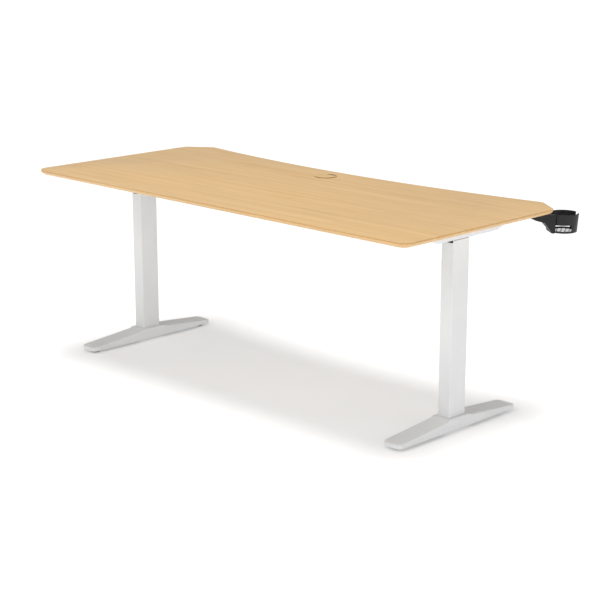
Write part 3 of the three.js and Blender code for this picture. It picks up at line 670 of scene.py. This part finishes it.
# ------------------------------------------------------------------ glides
def build_glide(node):
    """A levelling glide: a rubber pad and a threaded stud, turned as one rubber piece."""
    low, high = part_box(node)
    at = middle_of(node)
    pad = size_of(node).x / 2
    stud = 0.005
    profile = [(0.004, low.z), (pad - 0.0016, low.z), (pad - 0.0004, low.z + 0.0005), (pad, low.z + 0.0014),
               (pad, low.z + 0.0032), (pad - 0.0008, low.z + 0.0042), (pad - 0.003, low.z + 0.005),
               (stud, low.z + 0.005)]
    turns = 9
    thread_start = low.z + 0.0054
    pitch = (high.z - 0.0006 - thread_start) / turns
    for turn in range(turns):
        z = thread_start + turn * pitch
        profile += [(stud - 0.0006, z), (stud - 0.0001, z + 0.4 * pitch), (stud - 0.0001, z + 0.6 * pitch)]
    profile += [(stud - 0.0007, high.z - 0.0004), (stud - 0.0015, high.z)]
    bm = turned(profile, at, 40)
    piece = make_piece(f"{node}_pad", bm, materials["rubber"], f"{node}_body", [node])
    smooth(piece, 40)


# ------------------------------------------------------------------ brackets under the top
def build_bracket(side, inward):
    """A folded channel with long tapered ends."""
    low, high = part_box(f"{side}_side_bracket")
    at = middle_of(f"{side}_side_bracket")
    half_w = (high.x - low.x) / 2
    half_l = (high.y - low.y) / 2
    sheet = 0.0025
    fold = 0.0035
    flat, bent = half_l - 0.090, half_l - 0.050
    taper = rounded([(-half_l, high.z - 0.010), (-bent, low.z + 0.013), (-flat, low.z),
                     (flat, low.z), (bent, low.z + 0.013), (half_l, high.z - 0.010),
                     (half_l, high.z + 1), (-half_l, high.z + 1)], 0.14, 8)
    edge = sorted((point for point in taper if point.y < high.z - 0.0099 + 0.0001), key=lambda point: point.x)
    sections = []
    for point in edge:
        outer = [Vector((half_w, point.y)), *arc((half_w - fold, high.z - fold), fold, 0, 90, 5)]
        outer += [Vector((-p.x, p.y)) for p in reversed(outer)]
        inner = [Vector((half_w - sheet, point.y)),
                 *arc((half_w - fold, high.z - fold), fold - sheet, 0, 90, 5)]
        inner += [Vector((-p.x, p.y)) for p in reversed(inner)]
        outline = outer + list(reversed(inner))
        sections.append([Vector((at.x + p.x, at.y + point.x, p.y)) for p in outline])
    bm = loft(sections)
    piece = make_piece(f"{side}_bracket_channel", bm, materials["white_paint"], "lifting_top",
                       [f"{side}_side_bracket"])
    motor = middle_of(f"{side}_motor")
    turn = Matrix.Translation((at.x + inward * (half_w - 0.004), motor.y, motor.z))
    turn = turn @ Matrix.Rotation(math.radians(90), 4, "Y")
    carve(piece, [prism(circle(0.0125, 40), -0.008, 0.008, turn)])
    smooth(piece, 30)


# ------------------------------------------------------------------ grommet
def build_grommet():
    low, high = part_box("grommet_sleeve")
    at = middle_of("grommet_sleeve")
    _, desk_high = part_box("desktop")
    flange = (high.x - low.x) / 2
    cap_low, cap_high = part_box("grommet_cap")
    cap = flange - 0.0005
    gap = 0.0003
    outer = GROMMET_HOLE - gap
    inner = outer - 0.002
    plug = inner - gap
    seat = cap_low.z - gap
    rim = high.z - 0.0015
    profile = [
        (inner, low.z), (outer, low.z), (outer, desk_high.z + gap), (flange, desk_high.z + gap),
        (flange, rim - 0.0005), (flange - 0.0002, rim - 0.0001), (flange - 0.0005, rim),
        (inner + 0.0004, rim), (inner, rim - 0.0004), (inner, seat), (inner - 0.0035, seat),
        (inner - 0.0035, seat - 0.003), (inner, seat - 0.006),
    ]
    bm = turned(profile, at, 64, closed=True)
    piece = make_piece("grommet_ring", bm, materials["black_plastic"], "lifting_top",
                       ["grommet_sleeve"])
    smooth(piece, 40)

    edge = 0.0005
    bm = turned([(plug, cap_low.z), (plug, rim + gap), (cap, rim + gap), (cap, cap_high.z - edge),
                 (cap - 0.3 * edge, cap_high.z - 0.3 * edge), (cap - edge, cap_high.z)], at, 64)
    piece = make_piece("grommet_lid", bm, materials["wood_cap"], "grommet_cap_body",
                       ["grommet_cap"])
    notch = cap_high.y - at.y
    past = cap + 0.001
    outline = [(-past, notch), (past, notch), (past, past + 0.001), (-past, past + 0.001)]
    carve(piece, [prism(outline, cap_low.z - 0.001, cap_high.z + 0.001, Matrix.Translation((at.x, at.y, 0)))])
    smooth(piece, 40)


# ------------------------------------------------------------------ cup holder
def upright_rectangle(half_width, bottom, top):
    return [(-half_width, bottom), (half_width, bottom), (half_width, top), (-half_width, top)]


def build_cup_holder():
    """A moulded ring with a flared wall, open sides, a honeycomb floor and a tapering arm under the desk."""
    low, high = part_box("cup_holder")
    rim = 0.050
    foot = rim - 0.0045
    wall = 0.0035
    floor = 0.003
    at = Vector((high.x - rim, high.y - rim))
    screws = [middle_of(f"cup_holder_screw_{index}") for index in (1, 2)]
    to_arm = (screws[0].xy - at).normalized()
    heading = math.atan2(to_arm.y, to_arm.x)
    arm_depth = 0.0067
    arm_half = 0.020
    arm_end = (screws[1].xy - at).length + 0.009

    cup = turned([
        (foot - 0.003, low.z), (foot - 0.001, low.z + 0.0003), (foot, low.z + 0.0014),
        (rim, high.z - 0.0012), (rim - 0.0005, high.z - 0.0003), (rim - 0.0012, high.z),
    ], at, 96)
    piece = make_piece("cup_holder_moulding", cup, materials["black_plastic"], "lifting_top",
                       ["cup_holder"])
    side_view = [
        (foot - 0.008, low.z), (foot + 0.003, low.z), (foot + 0.0065, low.z + 0.003),
        (foot + 0.008, low.z + 0.011),
        (foot + 0.026, low.z + 0.034), (foot + 0.055, low.z + 0.042), (foot + 0.073, low.z + 0.050),
        (foot + 0.084, high.z - arm_depth), (arm_end - arm_half, high.z - arm_depth),
        (arm_end - arm_half, high.z), (foot - 0.008, high.z),
    ]
    aim = Matrix.Translation((at.x, at.y, 0)) @ Matrix.Rotation(heading, 4, "Z")
    on_side = aim @ Matrix(((1, 0, 0, 0), (0, 0, -1, 0), (0, 1, 0, 0), (0, 0, 0, 1)))
    gusset = prism(rounded(side_view, 0.005, 5), -rim, rim, on_side)
    plan = [
        (0, rim - 0.003), (0, 0.003 - rim), (foot + 0.026, -arm_half - 0.006), (foot + 0.075, -arm_half),
        (arm_end, -arm_half), (arm_end, arm_half), (foot + 0.075, arm_half),
        (foot + 0.026, arm_half + 0.006),
    ]
    plan_prism = prism(rounded(plan, arm_half, 8), low.z - 0.001, high.z + 0.001, aim)
    arm = make_piece("cup_holder_arm", gusset, materials["black_plastic"], "lifting_top")
    carve(arm, [plan_prism], "INTERSECT")
    arm_solid = bmesh.new()
    arm_solid.from_mesh(arm.data)
    bpy.data.objects.remove(arm)
    carve(piece, [arm_solid], "UNION")

    inside = turned([(foot - wall, low.z + floor), (rim - wall, high.z + 0.001)], at, 96)

    def window(outline, direction, round_by=0.003):
        turn = Matrix.Translation((at.x, at.y, 0)) @ Matrix.Rotation(direction, 4, "Z")
        facing = turn @ Matrix(((0, 0, 1, 0), (1, 0, 0, 0), (0, 1, 0, 0), (0, 0, 0, 1)))
        return prism(rounded(outline, round_by, 4), 0.4 * rim, rim + 0.010, facing)

    sill = low.z + 0.0065
    cutters = [inside]
    for side, window_end in ((1, -0.015), (-1, -0.034)):
        outline = [(0.037, sill), (0.037, low.z + 0.026), (window_end, low.z + 0.036), (window_end, sill)]
        if side > 0:
            outline = [(-reach, z) for reach, z in reversed(outline)]
        cutters.append(window(outline, heading + side * math.radians(90), 0.004))
        if side > 0:
            slit = upright_rectangle(0.003, low.z + 0.014, low.z + 0.036)
            cutters.append(window(slit, heading + math.pi + math.radians(50), 0.002))
    slot = upright_rectangle(0.014, low.z + floor, high.z + 0.012)
    cutters.append(window(slot, heading + math.pi))
    recess = low.z + floor - 0.0016
    cutters.append(turned([(foot - wall, low.z - 0.001), (foot - wall, recess)], at, 96))
    pitch = 0.0155
    hole = 0.0081
    for row in range(-2, 3):
        for column in range(-2, 3):
            x = pitch * (column + (row % 2) / 2)
            y = pitch * row * math.sqrt(3) / 2
            if math.hypot(x, y) < foot - wall - hole:
                spot = Matrix.Translation((at.x + x, at.y + y, 0)) @ Matrix.Rotation(math.radians(30), 4, "Z")
                cutters.append(prism(rounded(circle(hole, 6), 0.0012, 2), low.z - 0.001, low.z + 0.005, spot))
    for screw in screws:
        cutters.append(turned([(0.0023, high.z - 0.020), (0.0023, high.z + 0.001)], screw, 24))
    carve(piece, cutters)

    remesh = piece.modifiers.new("even_mesh", "REMESH")
    remesh.mode = "VOXEL"
    remesh.voxel_size = 0.0006
    soften = piece.modifiers.new("soften", "SMOOTH")
    soften.factor = 0.5
    soften.iterations = 3
    lighter = piece.modifiers.new("lighter", "DECIMATE")
    lighter.ratio = 0.2
    bake(piece)
    finish_piece(piece, materials["black_plastic"], "lifting_top")
    smooth(piece, 60)


# ------------------------------------------------------------------ button marks
def stroke(start, end, width):
    """A thin bar from one point to another, as four corners."""
    start, end = Vector(start), Vector(end)
    across = (end - start).normalized().orthogonal() * (width / 2)
    return [start + across, start - across, end - across, end + across]


def build_button_marks():
    """Raised generic marks: arrows up and down, one to three bars, and a dot to store."""
    tilt = math.radians(20)
    line = 0.0009
    bars = {"button_memory_1": 1, "button_memory_2": 2, "button_memory_3": 3}
    for node in ("button_up", "button_down", "button_store", *bars):
        low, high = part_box(node)
        outward = Vector((0, math.cos(tilt), math.sin(tilt)))
        upward = Vector((0, -math.sin(tilt), math.cos(tilt)))
        sideways = Vector((-1, 0, 0))
        radius = (high.x - low.x) / 2 - 0.0012
        reach = (high.y - middle_of(node).y) - radius * math.sin(tilt)
        face = middle_of(node) + outward * (reach / math.cos(tilt) - 0.0004)
        facing = Matrix((sideways, upward, outward)).transposed().to_4x4()
        facing.translation = face
        if node in bars:
            count = bars[node]
            shapes = [stroke((0.0018 * (index - (count - 1) / 2), -0.0018),
                             (0.0018 * (index - (count - 1) / 2), 0.0018), line) for index in range(count)]
        elif node == "button_store":
            shapes = [circle(0.0012, 16)]
        else:
            point = 0.0016 if node == "button_up" else -0.0016
            shapes = [[(-0.0022, -point / 2), (0.0022, -point / 2), (0, point)]]
        marks = merged([prism(shape, 0, 0.0005, facing) for shape in shapes])
        make_piece(f"{node}_mark", marks, materials["print"], f"{node}_body")


# ------------------------------------------------------------------ CAD nodes that stay
def rounding_nodes():
    """A geometry node group that shades smoothly across shallow edges."""
    group = bpy.data.node_groups.new("weld_and_smooth", "GeometryNodeTree")
    group.interface.new_socket("Geometry", in_out="INPUT", socket_type="NodeSocketGeometry")
    group.interface.new_socket("Geometry", in_out="OUTPUT", socket_type="NodeSocketGeometry")
    source = group.nodes.new("NodeGroupInput")
    result = group.nodes.new("NodeGroupOutput")
    angle = group.nodes.new("GeometryNodeInputMeshEdgeAngle")
    shallow = group.nodes.new("FunctionNodeCompare")
    shallow.operation = "LESS_THAN"
    shallow.inputs["B"].default_value = math.radians(32)
    edges = group.nodes.new("GeometryNodeSetShadeSmooth")
    edges.domain = "EDGE"
    faces = group.nodes.new("GeometryNodeSetShadeSmooth")
    faces.domain = "FACE"
    group.links.new(source.outputs[0], faces.inputs["Geometry"])
    group.links.new(faces.outputs["Geometry"], edges.inputs["Geometry"])
    group.links.new(angle.outputs["Unsigned Angle"], shallow.inputs["A"])
    group.links.new(shallow.outputs["Result"], edges.inputs["Shade Smooth"])
    group.links.new(edges.outputs["Geometry"], result.inputs[0])
    return group


def dress_cad_nodes():
    """Gives every CAD node that still shows its material, rounded edges and smooth shading."""
    slots = {part["node"]: part["material_slot"] for part in frame["record"]["subparts"]}
    shade = rounding_nodes()
    edge_widths = {"handset_case": 0.0012, "control_box_tray": 0.0015, "control_box_lid": 0.0006}
    for name, node in frame["nodes"].items():
        if node.hide_render:
            continue
        node.data.materials.clear()
        node.data.materials.append(materials[slots[name]])
        weld = node.modifiers.new("weld", "WELD")
        weld.merge_threshold = 0.00001
        flat = node.modifiers.new("flat_faces", "DECIMATE")
        flat.decimate_type = "DISSOLVE"
        flat.angle_limit = math.radians(0.5)
        if "lead" not in name or "clip" in name:
            round_edges(node, edge_widths.get(name, 0.0004), 2, 40)
        smoothing = node.modifiers.new("smooth", "NODES")
        smoothing.node_group = shade


# ------------------------------------------------------------------ stage
FLOOR_GLOW = 0.17


def build_stage():
    bm = bmesh.new()
    bmesh.ops.create_grid(bm, x_segments=2, y_segments=2, size=30)
    mesh = bpy.data.meshes.new("studio_floor")
    bm.to_mesh(mesh)
    bm.free()
    floor = bpy.data.objects.new("studio_floor", mesh)
    bpy.context.scene.collection.objects.link(floor)
    paper = Shader("studio_floor", roughness=0.9, specular=0.1)
    soft = paper.noise(paper.stretched(1, 1, 1), 0.7, 2.0)
    paper.colour(paper.ramp(soft, [(0.3, (0.93, 0.93, 0.93, 1)), (0.7, (0.95, 0.95, 0.95, 1))]))
    paper.main.inputs["Emission Color"].default_value = (1, 1, 1, 1)
    paper.main.inputs["Emission Strength"].default_value = FLOOR_GLOW
    mesh.materials.append(paper.material)


def add_area(name, at, aim, width, height, power, colour=(1, 1, 1)):
    light = bpy.data.lights.new(name, "AREA")
    light.shape = "RECTANGLE"
    light.size = width
    light.size_y = height
    light.energy = power
    light.color = colour
    lamp = bpy.data.objects.new(name, light)
    lamp.location = at
    lamp.rotation_euler = (Vector(aim) - Vector(at)).to_track_quat("-Z", "Y").to_euler()
    bpy.context.scene.collection.objects.link(lamp)


def add_overhead(name, strength, spread):
    """Even light from straight above; the spread, in degrees, sets how soft its shadows are."""
    light = bpy.data.lights.new(name, "SUN")
    light.energy = strength
    light.angle = math.radians(spread)
    lamp = bpy.data.objects.new(name, light)
    bpy.context.scene.collection.objects.link(lamp)


def build_lights():
    world = bpy.data.worlds.new("studio")
    bpy.context.scene.world = world
    world.use_nodes = True
    nodes, links = world.node_tree.nodes, world.node_tree.links
    nodes.clear()
    out = nodes.new("ShaderNodeOutputWorld")
    lit = nodes.new("ShaderNodeBackground")
    lit.inputs["Strength"].default_value = 0.40
    seen = nodes.new("ShaderNodeBackground")
    seen.inputs["Strength"].default_value = 1.0
    seen.inputs["Color"].default_value = (1, 1, 1, 1)
    lit.inputs["Color"].default_value = (1, 1, 1, 1)
    choose = nodes.new("ShaderNodeMixShader")
    path = nodes.new("ShaderNodeLightPath")
    links.new(path.outputs["Is Camera Ray"], choose.inputs[0])
    links.new(lit.outputs[0], choose.inputs[1])
    links.new(seen.outputs[0], choose.inputs[2])
    links.new(choose.outputs[0], out.inputs[0])
    add_overhead("overhead_sky", 1.75, 24)
    add_area("front_softbox", (0.6, -4.0, 2.9), (0, 0, 0.3), 3.0, 2.0, 55)
    add_area("right_softbox", (4.2, 0.6, 1.4), (0, 0, 0.3), 2.4, 2.0, 18)


def add_camera():
    """The photograph's angle: from the near right, a little above the top."""
    yaw = 0.78073
    pitch = 0.25543
    look = Vector((-math.sin(yaw) * math.cos(pitch), math.cos(yaw) * math.cos(pitch), -math.sin(pitch)))
    camera = bpy.data.objects.new("camera", bpy.data.cameras.new("camera"))
    camera.data.sensor_width = 36
    camera.data.lens = 95.44
    camera.data.clip_end = 100
    camera.location = desk_middle() + Vector((3.8666, -3.8294, 1.7132))
    camera.rotation_euler = look.to_track_quat("-Z", "Y").to_euler()
    bpy.context.scene.collection.objects.link(camera)
    bpy.context.scene.camera = camera
    bpy.context.scene.view_settings.view_transform = "Standard"


build_desktop()
for desk_side, desk_inward in (("left", 1), ("right", -1)):
    build_foot(desk_side)
    build_tube(desk_side)
    build_collar(desk_side)
    build_glide(f"{desk_side}_front_glide")
    build_glide(f"{desk_side}_rear_glide")
    build_bracket(desk_side, desk_inward)
build_grommet()
build_cup_holder()
build_button_marks()
dress_cad_nodes()
build_stage()
build_lights()
add_camera()

bpy.context.view_layer.update()
